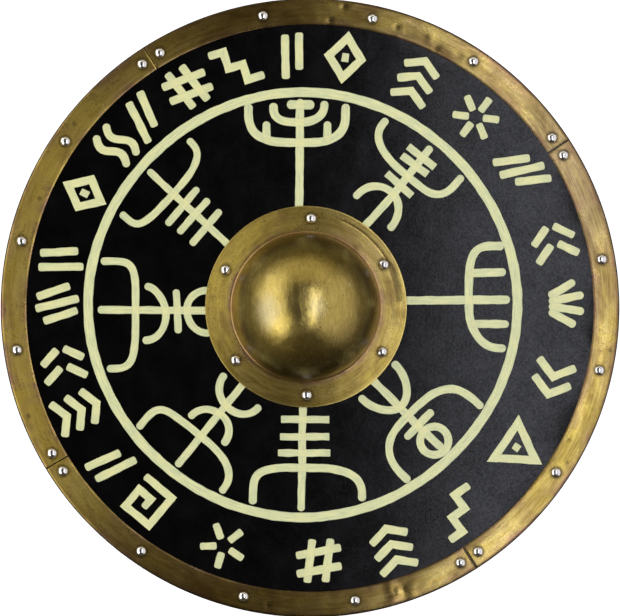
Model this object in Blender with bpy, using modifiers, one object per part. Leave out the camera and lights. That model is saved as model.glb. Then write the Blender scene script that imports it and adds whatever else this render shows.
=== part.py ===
"""Round wooden shield lying on its back. +Z is the front, +Y is up when it is carried, and the origin is the
centre of the flat back. Lengths are in metres and angles in degrees, counted from +X towards +Y."""

import math

import bmesh
import bpy
from mathutils import Matrix, Vector

# Board: one flat disc, with a round hole behind the boss for the hand
BOARD_DIAMETER = 0.6096
BOARD_THICKNESS = 0.012
BOARD_EDGE_ROUND = 0.0012
BOARD_SIDES = 96
HAND_HOLE_INSET = 0.0075  # from the dome's wall in to the edge of the hole

# Rim: flat brass strips on the front face, end to end
RIM_MARGIN = 0.0012  # painted edge of the board left showing outside the brass
STRIP_WIDTH = 0.0244
STRIP_THICKNESS = 0.0012
STRIP_JOINT_GAP = 0.001
STRIP_JOINTS = (33.1, 122.5, 211.4, 302.6)
STRIP_STEPS = 24
RIVETS_PER_STRIP = 5
END_RIVET_TO_JOINT = 0.0103

# Boss: a dome and its flange, raised from one sheet, a little left of and above the board's centre
BOSS_X = -0.0039
BOSS_Y = 0.0013
BOSS_SHEET = 0.0015
DOME_DIAMETER = 0.1446
DOME_HEIGHT = 0.068
DOME_FILLET = 0.0025
FLANGE_WIDTH = 0.0269  # from the dome's wall out to the edge of the flange
BOSS_SIDES = 48
BOSS_RIVETS = {"top": 86.6, "upper_right": 28.4, "lower_right": 329.4, "bottom": 270.5, "lower_left": 217.3,
               "upper_left": 155.5}

# Rivets: a domed head, a shank through everything, and a tail hammered flush into a countersink in the back
HEAD_DIAMETER = 0.0102
HEAD_HEIGHT = 0.0031
SHANK_DIAMETER = 0.0044
TAIL_DIAMETER = 0.0072
TAIL_DEPTH = 0.0016
RIVET_SIDES = 8

# Grip: a wooden bar across the hand hole, let into the back at both ends
GRIP_WIDTH = 0.034
GRIP_DEPTH = 0.026
GRIP_END_WIDTH = 0.028
GRIP_PAST_RIVET = 0.014
GRIP_TO_HOLE = 0.005  # from the swelling's ends to the edge of the hole
GRIP_END_SHARE = 0.6  # how thick the swelling still is at its ends, of its middle
GRIP_FLAT_HEIGHT = 0.008  # from the flat back of the swelling up to its widest line

FIT_GAP = 0.0003  # between pieces that touch

board_radius = BOARD_DIAMETER / 2
strip_outer = board_radius - RIM_MARGIN
strip_inner = strip_outer - STRIP_WIDTH
dome_radius = DOME_DIAMETER / 2
flange_radius = dome_radius + FLANGE_WIDTH
hole_radius = dome_radius - HAND_HOLE_INSET
boss_centre = Vector((BOSS_X, BOSS_Y, 0))
strip_top = BOARD_THICKNESS + FIT_GAP + STRIP_THICKNESS
flange_top = BOARD_THICKNESS + FIT_GAP + BOSS_SHEET
lap_depth = BOARD_THICKNESS / 2


def clear_scene():
    for obj in list(bpy.data.objects):
        bpy.data.objects.remove(obj)


def new_collection(name):
    collection = bpy.data.collections.new(name)
    bpy.context.scene.collection.children.link(collection)
    return collection


def principled(name, colour, roughness, metallic):
    material = bpy.data.materials.new(name)
    material.use_nodes = True
    shader = material.node_tree.nodes["Principled BSDF"]
    shader.inputs["Base Color"].default_value = (*colour, 1)
    shader.inputs["Roughness"].default_value = roughness
    shader.inputs["Metallic"].default_value = metallic
    return material


def add_object(name, mesh, collection, material=None):
    obj = bpy.data.objects.new(name, mesh)
    collection.objects.link(obj)
    if material:
        mesh.materials.append(material)
    return obj


def mesh_from(bm, name):
    mesh = bpy.data.meshes.new(name)
    bm.to_mesh(mesh)
    bm.free()
    return mesh


def add_cutter(name, mesh, collection):
    cutter = add_object(name, mesh, collection)
    cutter.hide_render = True
    cutter.display_type = "WIRE"
    return cutter


def turn(obj, steps):
    screw = obj.modifiers.new("turn", "SCREW")
    screw.axis = "Z"
    screw.angle = 2 * math.pi
    screw.steps = screw.render_steps = steps
    screw.use_merge_vertices = True
    screw.merge_threshold = 0.00001
    screw.use_smooth_shade = True


def profile_mesh(name, points):
    """A line of (radius, height) points that starts and ends on the axis."""
    mesh = bpy.data.meshes.new(name)
    mesh.from_pydata([(r, 0, z) for r, z in points], [(i, i + 1) for i in range(len(points) - 1)], [])
    return mesh


def cut(obj, cutter=None, collection=None):
    boolean = obj.modifiers.new("cut", "BOOLEAN")
    boolean.operation = "DIFFERENCE"
    boolean.solver = "EXACT"
    if collection:
        boolean.operand_type = "COLLECTION"
        boolean.collection = collection
    else:
        boolean.object = cutter


def arc(centre_r, centre_z, width, height, start, end, steps):
    """Points of an elliptical arc in the (radius, height) plane, both ends included."""
    turns = [math.radians(start + (end - start) * i / steps) for i in range(steps + 1)]
    return [(centre_r + width * math.cos(t), centre_z + height * math.sin(t)) for t in turns]


def around(radius, degrees):
    angle = math.radians(degrees)
    return Vector((radius * math.cos(angle), radius * math.sin(angle), 0))


def strip_spans():
    """Where each strip starts and ends, in degrees along the rim."""
    gap = math.degrees(STRIP_JOINT_GAP / (strip_outer - STRIP_WIDTH / 2))
    for i, start in enumerate(STRIP_JOINTS):
        end = STRIP_JOINTS[(i + 1) % len(STRIP_JOINTS)]
        yield start + gap / 2, start + (end - start) % 360 - gap / 2


def rim_rivet_places():
    """One list of rivet places for each strip, evenly spaced along the middle of the brass."""
    radius = strip_outer - STRIP_WIDTH / 2
    inset = math.degrees((END_RIVET_TO_JOINT - STRIP_JOINT_GAP / 2) / radius)
    for start, end in strip_spans():
        first, last = start + inset, end - inset
        step = (last - first) / (RIVETS_PER_STRIP - 1)
        yield [around(radius, first + step * i) for i in range(RIVETS_PER_STRIP)]


def boss_rivet_places():
    """The rivets go round the middle of the flat of the flange."""
    radius = (dome_radius + DOME_FILLET + flange_radius) / 2
    return {name: boss_centre + around(radius, angle) for name, angle in BOSS_RIVETS.items()}


def rivet_mesh(name, seat):
    """A rivet whose head rests on seat and whose tail is flush with the back."""
    head, shank, tail = HEAD_DIAMETER / 2, SHANK_DIAMETER / 2, TAIL_DIAMETER / 2
    foot = seat + FIT_GAP
    dome = arc(0, foot, head, HEAD_HEIGHT, 90, 0, 3)
    dome[0] = (0, foot + HEAD_HEIGHT)
    return profile_mesh(name, [*dome, (shank, foot), (shank, TAIL_DEPTH), (tail, 0), (0, 0)])


def rivet_hole_mesh():
    """The clearance round a rivet's shank and tail, from below the back to above any head."""
    shank, tail = SHANK_DIAMETER / 2 + FIT_GAP, TAIL_DIAMETER / 2 + FIT_GAP
    slope = (tail - shank) / TAIL_DEPTH
    below, above = -0.001, flange_top + strip_top
    depth = TAIL_DEPTH + FIT_GAP
    return profile_mesh(
        "rivet_hole", [(0, above), (shank, above), (shank, depth), (shank + slope * (depth - below), below), (0, below)]
    )


def add_rivet_holes(places, collection):
    mesh = rivet_hole_mesh()
    for place in places:
        cutter = add_cutter("rivet_hole", mesh, collection)
        cutter.location = place
        turn(cutter, RIVET_SIDES)


def grip_line():
    """The middle of the grip, its direction, and half the distance between the two rivets that hold it."""
    places = boss_rivet_places()
    top, bottom = places["top"], places["bottom"]
    return (top + bottom) / 2, (top - bottom).normalized(), (top - bottom).length / 2


def along_grip(obj):
    middle, direction, _ = grip_line()
    obj.location = middle
    obj.rotation_euler = (0, 0, math.atan2(direction.y, direction.x) - math.pi / 2)


def box_mesh(name, low, high):
    low, high = Vector(low), Vector(high)
    bm = bmesh.new()
    bmesh.ops.create_cube(bm, size=1, matrix=Matrix.Translation((low + high) / 2) @ Matrix.Diagonal((*(high - low), 1)))
    return mesh_from(bm, name)


def make_board(parts, cutters, rim_holes, boss_holes):
    bm = bmesh.new()
    bmesh.ops.create_cone(
        bm, cap_ends=True, segments=BOARD_SIDES, radius1=board_radius, radius2=board_radius, depth=BOARD_THICKNESS,
        matrix=Matrix.Translation((0, 0, BOARD_THICKNESS / 2)),
    )
    board = add_object("board", mesh_from(bm, "board"), parts, principled("black_paint", (0.012, 0.012, 0.013), 0.45, 0))
    edge = board.modifiers.new("edge", "BEVEL")
    edge.width = BOARD_EDGE_ROUND
    edge.segments = 2
    edge.limit_method = "ANGLE"
    edge.angle_limit = math.radians(60)

    bm = bmesh.new()
    depth = 3 * BOARD_THICKNESS
    bmesh.ops.create_cone(
        bm, cap_ends=True, segments=BOSS_SIDES, radius1=hole_radius, radius2=hole_radius, depth=depth,
        matrix=Matrix.Translation((0, 0, BOARD_THICKNESS / 2)),
    )
    hole = add_cutter("hand_hole", mesh_from(bm, "hand_hole"), cutters)
    hole.location = boss_centre
    cut(board, hole)

    _, _, reach = grip_line()
    side, end = GRIP_END_WIDTH / 2 + FIT_GAP, reach + GRIP_PAST_RIVET + FIT_GAP
    slot = add_cutter("grip_slot", box_mesh("grip_slot", (-side, -end, -0.001), (side, end, lap_depth + FIT_GAP)), cutters)
    along_grip(slot)
    cut(board, slot)
    cut(board, collection=rim_holes)
    cut(board, collection=boss_holes)


def make_strips(parts, rim_holes, brass):
    for i, (start, end) in enumerate(strip_spans()):
        bm = bmesh.new()
        corners = [
            (strip_inner, strip_top), (strip_outer, strip_top), (strip_outer, strip_top - STRIP_THICKNESS),
            (strip_inner, strip_top - STRIP_THICKNESS),
        ]
        turn_to_start = Matrix.Rotation(math.radians(start), 4, "Z")
        face = bm.faces.new([bm.verts.new(turn_to_start @ Vector((r, 0, z))) for r, z in corners])
        bmesh.ops.spin(
            bm, geom=[face], cent=(0, 0, 0), axis=(0, 0, 1), angle=math.radians(end - start), steps=STRIP_STEPS
        )
        bmesh.ops.recalc_face_normals(bm, faces=bm.faces)
        strip = add_object(f"rim_strip_{i + 1}", mesh_from(bm, "rim_strip"), parts, brass)
        cut(strip, collection=rim_holes)


def make_rivets(parts, steel):
    mesh = rivet_mesh("rim_rivet", strip_top)
    mesh.materials.append(steel)
    for i, places in enumerate(rim_rivet_places()):
        for j, place in enumerate(places):
            rivet = add_object(f"rim_rivet_{i + 1}_{j + 1}", mesh, parts)
            rivet.location = place
            turn(rivet, RIVET_SIDES)
    mesh = rivet_mesh("boss_rivet", flange_top)
    mesh.materials.append(steel)
    for name, place in boss_rivet_places().items():
        rivet = add_object(f"boss_rivet_{name}", mesh, parts)
        rivet.location = place
        turn(rivet, RIVET_SIDES)


def make_boss(parts, boss_holes, brass):
    """The sheet's outer line runs down the dome and out to the flange's edge, and its inner line comes back."""
    fillet_centre = dome_radius + DOME_FILLET, flange_top + DOME_FILLET
    rise = DOME_HEIGHT - DOME_FILLET
    inner = DOME_FILLET + BOSS_SHEET
    points = arc(0, fillet_centre[1], dome_radius, rise, 90, 0, 10)
    points += arc(*fillet_centre, DOME_FILLET, DOME_FILLET, 180, 270, 3)[1:]
    points += [(flange_radius, flange_top), (flange_radius, flange_top - BOSS_SHEET)]
    points += arc(*fillet_centre, inner, inner, 270, 180, 3)
    points += arc(0, fillet_centre[1], dome_radius - BOSS_SHEET, rise - BOSS_SHEET, 0, 90, 8)[1:]
    points[0], points[-1] = (0, points[0][1]), (0, points[-1][1])
    boss = add_object("boss", profile_mesh("boss", points), parts, brass)
    boss.location = boss_centre
    turn(boss, BOSS_SIDES)
    cut(boss, collection=boss_holes)


def swelling_mesh():
    """The part of the grip that fills the hand: a barrel along Y, flat at the back."""
    half = hole_radius - GRIP_TO_HOLE
    top = GRIP_DEPTH - GRIP_FLAT_HEIGHT
    bm = bmesh.new()
    bmesh.ops.create_cone(bm, cap_ends=True, segments=20, radius1=1, radius2=1, depth=2)
    around_axis = [edge for edge in bm.edges if abs(edge.verts[0].co.z - edge.verts[1].co.z) > 1]
    bmesh.ops.subdivide_edges(bm, edges=around_axis, cuts=9, use_grid_fill=True)
    for vert in bm.verts:
        along = vert.co.z
        swell = GRIP_END_SHARE + (1 - GRIP_END_SHARE) * math.cos(along * math.pi / 2)
        vert.co = (vert.co.x * swell * GRIP_WIDTH / 2, along * half, vert.co.y * swell * top + GRIP_FLAT_HEIGHT)
    bmesh.ops.recalc_face_normals(bm, faces=bm.faces)
    geometry = [*bm.verts, *bm.edges, *bm.faces]
    cut_line = bmesh.ops.bisect_plane(bm, geom=geometry, plane_co=(0, 0, 0), plane_no=(0, 0, -1), clear_outer=True)
    edges = [item for item in cut_line["geom_cut"] if isinstance(item, bmesh.types.BMEdge)]
    bmesh.ops.edgeloop_fill(bm, edges=edges)
    bmesh.ops.recalc_face_normals(bm, faces=bm.faces)
    return mesh_from(bm, "swelling")


def make_grip(parts, cutters, boss_holes):
    _, _, reach = grip_line()
    side, end = GRIP_END_WIDTH / 2, reach + GRIP_PAST_RIVET
    wood = principled("bare_wood", (0.30, 0.17, 0.08), 0.6, 0)
    grip = add_object("grip", box_mesh("grip", (-side, -end, 0), (side, end, lap_depth)), parts, wood)
    along_grip(grip)
    swelling = add_cutter("swelling", swelling_mesh(), cutters)
    along_grip(swelling)
    join = grip.modifiers.new("swelling", "BOOLEAN")
    join.operation = "UNION"
    join.solver = "EXACT"
    join.object = swelling
    cut(grip, collection=boss_holes)


def make_shield():
    clear_scene()
    parts = new_collection("round_shield")
    cutters = new_collection("cutters")
    rim_holes = new_collection("rim_rivet_holes")
    boss_holes = new_collection("boss_rivet_holes")
    add_rivet_holes([place for places in rim_rivet_places() for place in places], rim_holes)
    add_rivet_holes(boss_rivet_places().values(), boss_holes)

    brass = principled("aged_brass", (0.42, 0.28, 0.09), 0.38, 1)
    steel = principled("polished_steel", (0.72, 0.72, 0.74), 0.2, 1)
    make_board(parts, cutters, rim_holes, boss_holes)
    make_strips(parts, rim_holes, brass)
    make_boss(parts, boss_holes, brass)
    make_rivets(parts, steel)
    make_grip(parts, cutters, boss_holes)


make_shield()
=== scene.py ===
import bpy
import bmesh
import math
import random
from mathutils import Matrix, Vector, noise
from mathutils.geometry import delaunay_2d_cdt


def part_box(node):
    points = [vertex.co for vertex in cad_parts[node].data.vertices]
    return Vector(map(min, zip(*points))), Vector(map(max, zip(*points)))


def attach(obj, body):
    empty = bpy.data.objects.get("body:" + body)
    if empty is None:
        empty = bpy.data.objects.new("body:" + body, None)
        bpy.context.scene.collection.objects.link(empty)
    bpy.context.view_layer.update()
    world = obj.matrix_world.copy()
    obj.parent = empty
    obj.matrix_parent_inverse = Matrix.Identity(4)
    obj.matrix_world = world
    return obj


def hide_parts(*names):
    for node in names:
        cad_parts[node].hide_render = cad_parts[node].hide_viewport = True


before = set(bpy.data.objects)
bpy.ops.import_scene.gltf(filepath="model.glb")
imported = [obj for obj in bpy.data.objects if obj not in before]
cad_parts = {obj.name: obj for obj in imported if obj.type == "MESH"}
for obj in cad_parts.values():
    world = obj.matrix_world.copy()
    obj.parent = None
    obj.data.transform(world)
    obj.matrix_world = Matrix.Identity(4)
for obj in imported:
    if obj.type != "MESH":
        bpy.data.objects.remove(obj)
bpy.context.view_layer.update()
mm = 0.001
origin = Vector((0, 0, 0))
print("frame loaded:", len(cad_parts), "nodes")


def centreOf(nodeName):
    low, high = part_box(nodeName)
    return Vector(((low.x + high.x) / 2, (low.y + high.y) / 2, 0.0))


# where the pieces are, read from the frame
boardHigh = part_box("board")[1]
boardRadius = boardHigh.x
boardTop = boardHigh.z
bossLow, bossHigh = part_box("boss")
bossCentre = centreOf("boss")
flangeRadius = (bossHigh.x - bossLow.x) / 2
rivets = {name: centreOf(name) for name in sorted(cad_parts) if "_rivet_" in name}
rimRivets = [centre for name, centre in rivets.items() if name.startswith("rim")]
bossRivets = [centre for name, centre in rivets.items() if name.startswith("boss")]


def around(centre, radius, degrees):
    turn = math.radians(degrees)
    return centre + Vector((radius * math.cos(turn), radius * math.sin(turn), 0.0))


def turnFrom(heading, point):
    # the angle from a heading to a point, at most half a turn either way
    return (math.atan2(point.y, point.x) - heading + math.pi) % math.tau - math.pi


# nodes and materials: an owner is a material, or a socket whose node tree the new node joins

def addNode(owner, kind, inputs=None, **settings):
    tree = owner.node_tree if isinstance(owner, bpy.types.Material) else owner.id_data
    made = tree.nodes.new("ShaderNode" + kind)
    for key, value in settings.items():
        setattr(made, key, value)
    for key, value in (inputs or {}).items():
        if isinstance(value, bpy.types.NodeSocket):
            tree.links.new(value, made.inputs[key])
        else:
            made.inputs[key].default_value = value
    return made


def newMaterial(name, **sockets):
    material = bpy.data.materials.new(name)
    material.use_nodes = True
    shader = material.node_tree.nodes["Principled BSDF"]
    for key, value in sockets.items():
        shader.inputs[key].default_value = value
    return material


def connect(socket, inputName):
    tree = socket.id_data
    tree.links.new(socket, tree.nodes["Principled BSDF"].inputs[inputName])


def reckon(first, second, how):
    return addNode(first, "Math", {0: first, 1: second}, operation=how).outputs[0]


def sumOf(first, second):
    return reckon(first, second, "ADD")


def product(first, second):
    return reckon(first, second, "MULTIPLY")


def vectorMath(first, second, how):
    return addNode(first, "VectorMath", {0: first, 1: second}, operation=how).outputs[0]


def lengthOf(vector):
    return addNode(vector, "VectorMath", {0: vector}, operation="LENGTH").outputs["Value"]


def between(value, low, high, toLow=0.0, toHigh=1.0):
    inputs = {"Value": value, "From Min": low, "From Max": high, "To Min": toLow, "To Max": toHigh}
    return addNode(value, "MapRange", inputs).outputs["Result"]


def blend(amount, first, second):
    return addNode(amount, "MixRGB", {"Fac": amount, "Color1": first, "Color2": second}).outputs["Color"]


def relief(height, distance, strength, onto=None):
    inputs = {"Height": height, "Distance": distance, "Strength": strength}
    if onto is not None:
        inputs["Normal"] = onto
    return addNode(height, "Bump", inputs).outputs["Normal"]


def placed(material, scale, centre=(0, 0, 0), source=None):
    vector = source or addNode(material, "TexCoord").outputs["Object"]
    return vectorMath(vectorMath(vector, centre, "SUBTRACT"), scale, "MULTIPLY")


def noiseOn(vector, detail, roughness, distortion):
    inputs = {"Vector": vector, "Scale": 1.0, "Detail": detail, "Roughness": roughness,
              "Distortion": distortion}
    return addNode(vector, "TexNoise", inputs).outputs["Fac"]


def cloudy(material, scale, detail, roughness, centre=(0, 0, 0), distortion=0.0, source=None):
    return noiseOn(placed(material, scale, centre, source), detail, roughness, distortion)


def attributeOf(material, name):
    return addNode(material, "Attribute", attribute_name=name).outputs["Fac"]


def brushAlong(material, mapName):
    # the shine of the brushing runs along this map
    tangent = addNode(material, "Tangent", direction_type="UV_MAP", uv_map=mapName)
    connect(tangent.outputs["Tangent"], "Tangent")


# meshes

def show(thing):
    bpy.context.scene.collection.objects.link(thing)


def addPiece(bm, nodeName, materials, sharpDegrees, allSmooth=True):
    # the visible piece that stands in for a node and is named after it
    name = nodeName.title().replace("_", "")
    mesh = bpy.data.meshes.new(name)
    bm.to_mesh(mesh)
    bm.free()
    for material in materials:
        mesh.materials.append(material)
    if allSmooth:
        mesh.shade_smooth()
    mesh.set_sharp_from_angle(angle=math.radians(sharpDegrees))
    piece = bpy.data.objects.new(name, mesh)
    show(piece)
    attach(piece, "root")
    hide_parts(nodeName)


def cylinder(bm, centre, radius, low, high, sides):
    middle = Matrix.Translation(Vector((centre.x, centre.y, (low + high) / 2)))
    bmesh.ops.create_cone(bm, cap_ends=True, segments=sides, radius1=radius, radius2=radius, depth=high - low,
                          matrix=middle)


def cutAway(bm, cutters):
    # takes the cutters' shapes out of the mesh with one exact Boolean
    meshes = [bpy.data.meshes.new("work"), bpy.data.meshes.new("cutters")]
    for source, mesh in zip((bm, cutters), meshes):
        source.to_mesh(mesh)
        source.free()
    work, tool = [bpy.data.objects.new(mesh.name, mesh) for mesh in meshes]
    show(work)
    show(tool)
    cut = work.modifiers.new("cut", "BOOLEAN")
    cut.operation = "DIFFERENCE"
    cut.solver = "EXACT"
    cut.object = tool
    bpy.context.view_layer.update()
    left = bmesh.new()
    left.from_mesh(work.evaluated_get(bpy.context.evaluated_depsgraph_get()).to_mesh())
    for thing, mesh in zip((work, tool), meshes):
        bpy.data.objects.remove(thing)
        bpy.data.meshes.remove(mesh)
    return left


def drilled(bm, centres, radius, low, high, sides):
    drills = bmesh.new()
    for centre in centres:
        cylinder(drills, centre, radius, low, high, sides)
    return cutAway(bm, drills)


def turned(profile, centre, steps):
    # spins an (r, z) outline round an upright axis through the centre
    bm = bmesh.new()
    verts = [bm.verts.new((centre.x + r, centre.y, z)) for r, z in profile]
    edges = [bm.edges.new(pair) for pair in zip(verts, verts[1:])]
    bmesh.ops.spin(bm, geom=verts + edges, cent=centre, axis=(0, 0, 1), angle=math.tau, steps=steps,
                   use_merge=True)
    bmesh.ops.remove_doubles(bm, verts=bm.verts[:], dist=1e-6)
    bmesh.ops.recalc_face_normals(bm, faces=bm.faces[:])
    return bm


def arcPoints(centre, radii, fromDegrees, toDegrees, steps):
    points = []
    for step in range(steps + 1):
        turn = math.radians(fromDegrees + (toDegrees - fromDegrees) * step / steps)
        points.append((centre[0] + radii[0] * math.cos(turn), centre[1] + radii[1] * math.sin(turn)))
    return points


# camera, light and floor

camera = {
    "height": 2.6,          # lens above the floor
    "frameWidth": 0.6105,   # what the frame's width covers at the board's face
    "sensor": 36.0,
    "near": 0.05,
    "far": 50.0,
}

lights = {                  # tilt is how far from straight above the light stands, towards its heading
    "left softbox": {"heading": 174, "tilt": 52, "away": 1.9, "width": 1.35, "length": 3.3, "glow": 1.66,
                     "tint": (1.0, 0.98, 0.94), "roll": 15},
    "left accent": {"heading": 217, "tilt": 54, "away": 1.8, "width": 0.55, "length": 0.8, "glow": 1.20,
                    "tint": (1.0, 0.98, 0.94)},
    "right strip": {"heading": 0, "tilt": 12.7, "away": 1.74, "width": 0.37, "length": 1.7, "glow": 3.0,
                    "tint": (0.96, 0.98, 1.10)},
    "right fill": {"heading": 0, "tilt": 54, "away": 1.9, "width": 1.9, "length": 3.4, "glow": 0.78,
                   "tint": (1.0, 0.965, 0.97)},
    "top fill": {"heading": 0, "tilt": 0, "away": 2.2, "width": 1.0, "length": 1.0, "glow": 1.05,
                 "tint": (1.0, 1.0, 0.94), "mirrored": False},
    "far fill": {"heading": 90, "tilt": 56, "away": 2.0, "width": 1.3, "length": 2.4, "glow": 0.58,
                 "tint": (1.0, 0.92, 0.72)},
}

surroundings = {
    "light": (0.062, 0.050, 0.034, 1),
    "backdrop": (0.93, 0.93, 0.93, 1),      # what the camera sees: it lights nothing
}

floor = {
    "half": 4.0,
    "drop": 0.3 * mm,       # below the shield's back
    "colour": (0.94, 0.94, 0.94, 1),
    "roughness": 0.8,
    "glow": 0.75,
}


def makeCamera():
    data = bpy.data.cameras.new("Camera")
    data.sensor_width = camera["sensor"]
    data.lens = camera["sensor"] * (camera["height"] - boardTop) / camera["frameWidth"]
    data.clip_start = camera["near"]
    data.clip_end = camera["far"]
    view = bpy.data.objects.new("Camera", data)
    view.location = (0.0, 0.0, camera["height"])
    show(view)
    bpy.context.scene.camera = view


def makeLights():
    for name, light in lights.items():
        data = bpy.data.lights.new(name, "AREA")
        data.shape = "RECTANGLE"
        data.size = light["width"]
        data.size_y = light["length"]
        data.color = light["tint"]
        data.energy = light["glow"] * math.pi * light["width"] * light["length"]
        lamp = bpy.data.objects.new(name, data)
        turn = Matrix.Rotation(math.radians(light["heading"]), 4, "Z")
        tilt = Matrix.Rotation(math.radians(light["tilt"]), 4, "Y")
        roll = Matrix.Rotation(math.radians(light.get("roll", 0)), 4, "Z")
        lamp.matrix_world = turn @ tilt @ Matrix.Translation((0, 0, light["away"])) @ roll
        lamp.visible_camera = False
        lamp.visible_glossy = light.get("mirrored", True)
        show(lamp)


def makeWorld():
    world = bpy.data.worlds.new("World")
    world.use_nodes = True
    nodes, links = world.node_tree.nodes, world.node_tree.links
    seen = nodes.new("ShaderNodeMixRGB")
    seen.inputs["Color1"].default_value = surroundings["light"]
    seen.inputs["Color2"].default_value = surroundings["backdrop"]
    links.new(nodes.new("ShaderNodeLightPath").outputs["Is Camera Ray"], seen.inputs["Fac"])
    links.new(seen.outputs["Color"], nodes["Background"].inputs["Color"])
    bpy.context.scene.world = world
    bpy.context.scene.view_settings.view_transform = "Standard"


def makeFloor():
    bm = bmesh.new()
    bmesh.ops.create_grid(bm, x_segments=1, y_segments=1, size=floor["half"],
                          matrix=Matrix.Translation((0, 0, -floor["drop"])))
    mesh = bpy.data.meshes.new("Floor")
    bm.to_mesh(mesh)
    bm.free()
    mesh.materials.append(newMaterial("Floor", **{
        "Base Color": floor["colour"], "Roughness": floor["roughness"],
        "Emission Color": floor["colour"], "Emission Strength": floor["glow"]}))
    ground = bpy.data.objects.new("Floor", mesh)
    ground.visible_glossy = False       # the photo was taken against nothing that the brass could mirror
    show(ground)


makeCamera()
makeLights()
makeWorld()
makeFloor()
print("camera, lights and floor made")


# the painted strokes: each is a centre line in millimetres, (right, out) in the frame of its own figure

strokes = []            # stations in millimetres on the board, in the order the strokes were painted

paint = {
    "centre": (-6.75, 3.24),    # of the ring and the eight arms, from the middle of the board
    "ringRadius": 209.6,
    "ringWidth": 9.5,
    "markWidth": 7.9,
    "markRadius": 249.0,        # from the middle of the board
    "markLoad": 0.6,            # how much fuller the brush was for the marks
    "tip": 9.0,                 # how far the thin paint of a stroke's end reaches
    "stationGap": 3.0,          # between two cross lines of a stroke
    "wobble": 0.22,             # how far the hand strays
    "drift": (0.07, 1.6),       # how often in a millimetre, and how many wobbles far, a line strays
    "swell": (0.11, 2.0),       # the same for its half width
    "sharpTurn": 0.6,           # in radians: from here on a bend is a corner that stays where it is
    "mitreTurn": 0.3,           # and from here on its two sides are mitred,
    "mitreLimit": 0.45,         # by no more than this allows
}

tipShapes = {"round": (0.9, 1.0), "soft": (0.6, 0.5), "square": (0.22, 0.12)}     # how far, how full
tipSteps = (84, 66, 48, 30, 14)         # degrees round a rounded tip

rng = random.Random(11)


def straight(*corners):
    return [Vector(corner) for corner in corners]


def cup(left, right, bottom, middle, squareLeft=2.0, squareRight=2.0, steps=16):
    # a U from its left tip round to its right tip; a higher square gives fuller corners
    halves = []
    for tip, square in ((left, squareLeft), (right, squareRight)):
        half = []
        for step in range(steps + 1):
            turn = math.pi / 2 * step / steps
            half.append(Vector((middle + (tip[0] - middle) * math.cos(turn) ** (2 / square),
                                bottom + (tip[1] - bottom) * (1 - math.sin(turn) ** (2 / square)))))
        halves.append(half)
    return halves[0] + halves[1][-2::-1]


def hoop(centre, radius):
    return [Vector(point) for point in arcPoints(centre, (radius, radius), 0, 352, 24)]


def evened(line, gap):
    # the same open line with its points an even distance apart
    lengths = [0.0]
    for first, second in zip(line, line[1:]):
        lengths.append(lengths[-1] + (second - first).length)
    count = max(2, round(lengths[-1] / gap))
    result = []
    index = 0
    for step in range(count + 1):
        wanted = lengths[-1] * step / count
        while index < len(lengths) - 2 and lengths[index + 1] < wanted:
            index += 1
        span = lengths[index + 1] - lengths[index]
        share = (wanted - lengths[index]) / span if span else 0.0
        result.append(line[index].lerp(line[index + 1], share))
    return result


def cornered(points, gap, closed):
    # evened between one sharp corner and the next, so that the corners stay where they are
    count = len(points)
    sharp = []
    for index in range(count) if closed else range(1, count - 1):
        turn = (points[index] - points[index - 1]).angle(points[(index + 1) % count] - points[index], 0.0)
        if turn > paint["sharpTurn"]:
            sharp.append(index)
    line, cuts = points, [0] + sharp + [count - 1]
    if closed:
        start = sharp[0] if sharp else 0
        line = points[start:] + points[:start + 1]
        cuts = [index - start for index in sharp or [0]] + [count]
    runs = [evened(line[first:last + 1], gap) for first, last in zip(cuts, cuts[1:])]
    result = [point for run in runs for point in run[:-1]]
    return result if closed else result + [runs[-1][-1]]


def stroke(points, place, width, ends="round", closed=False):
    # place(right, out) gives the point on the board in millimetres from its middle
    line = cornered([place(point.x, point.y) for point in points], paint["stationGap"], closed)
    seed = rng.uniform(0, 1000)
    count = len(line)
    stations = []
    travelled = 0.0
    for index, point in enumerate(line):
        before = line[index - 1] if index or closed else point
        after = line[(index + 1) % count] if index < count - 1 or closed else point
        along = (after - before).normalized()
        bend = (point - before).angle(after - point, 0.0) if before != point != after else 0.0
        mitre = 1.0
        if bend > paint["mitreTurn"]:
            mitre = 1 / max(paint["mitreLimit"], math.cos(bend / 2))
            along = ((point - before).normalized() + (after - point).normalized()).normalized()
        across = Vector((-along.y, along.x))
        if index:
            travelled += (point - line[index - 1]).length
        drift, swell = [noise.noise(Vector((travelled * often, seed, lane))) * paint["wobble"] * far
                        for lane, (often, far) in ((0.0, paint["drift"]), (5.0, paint["swell"]))]
        stations.append([point + across * drift, across, (width / 2 + swell) * mitre, travelled])
    if not closed:
        stations = capped(stations, width / 2, ends)
    strokes.append({"stations": stations, "closed": closed, "seed": seed, "load": 0.0})


def capped(stations, half, ends):
    # rounds both tips off, or leaves them cut nearly square
    reach, fullness = tipShapes[ends]
    tips = []
    for side, (point, across, width, travelled) in ((-1, stations[0]), (1, stations[-1])):
        outward = Vector((across.y, -across.x)) * side
        tips.append([])
        for degrees in tipSteps:
            turn = math.radians(degrees)
            step = half * reach * math.sin(turn)
            tips[-1].append([point + outward * step, across, width * math.cos(turn) ** fullness,
                             travelled + side * step])
    return tips[0] + stations + tips[1][::-1]


def placeAt(bearing, centre, away=0.0):
    # stands at the centre, or a way out from it, and looks outwards along the bearing
    turn = math.radians(bearing)
    out = Vector((math.cos(turn), math.sin(turn)))
    right = Vector((out.y, -out.x))
    start = Vector(centre) + out * away
    return lambda rightward, outward: start + right * rightward + out * outward


def ringRadius(degrees):
    # drawn by hand, so it isn't a true circle
    turn = math.radians(degrees)
    return paint["ringRadius"] + 1.0 * math.cos(2 * turn) + 0.8 * math.cos(4 * turn) - 0.4 * math.cos(turn)


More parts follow.
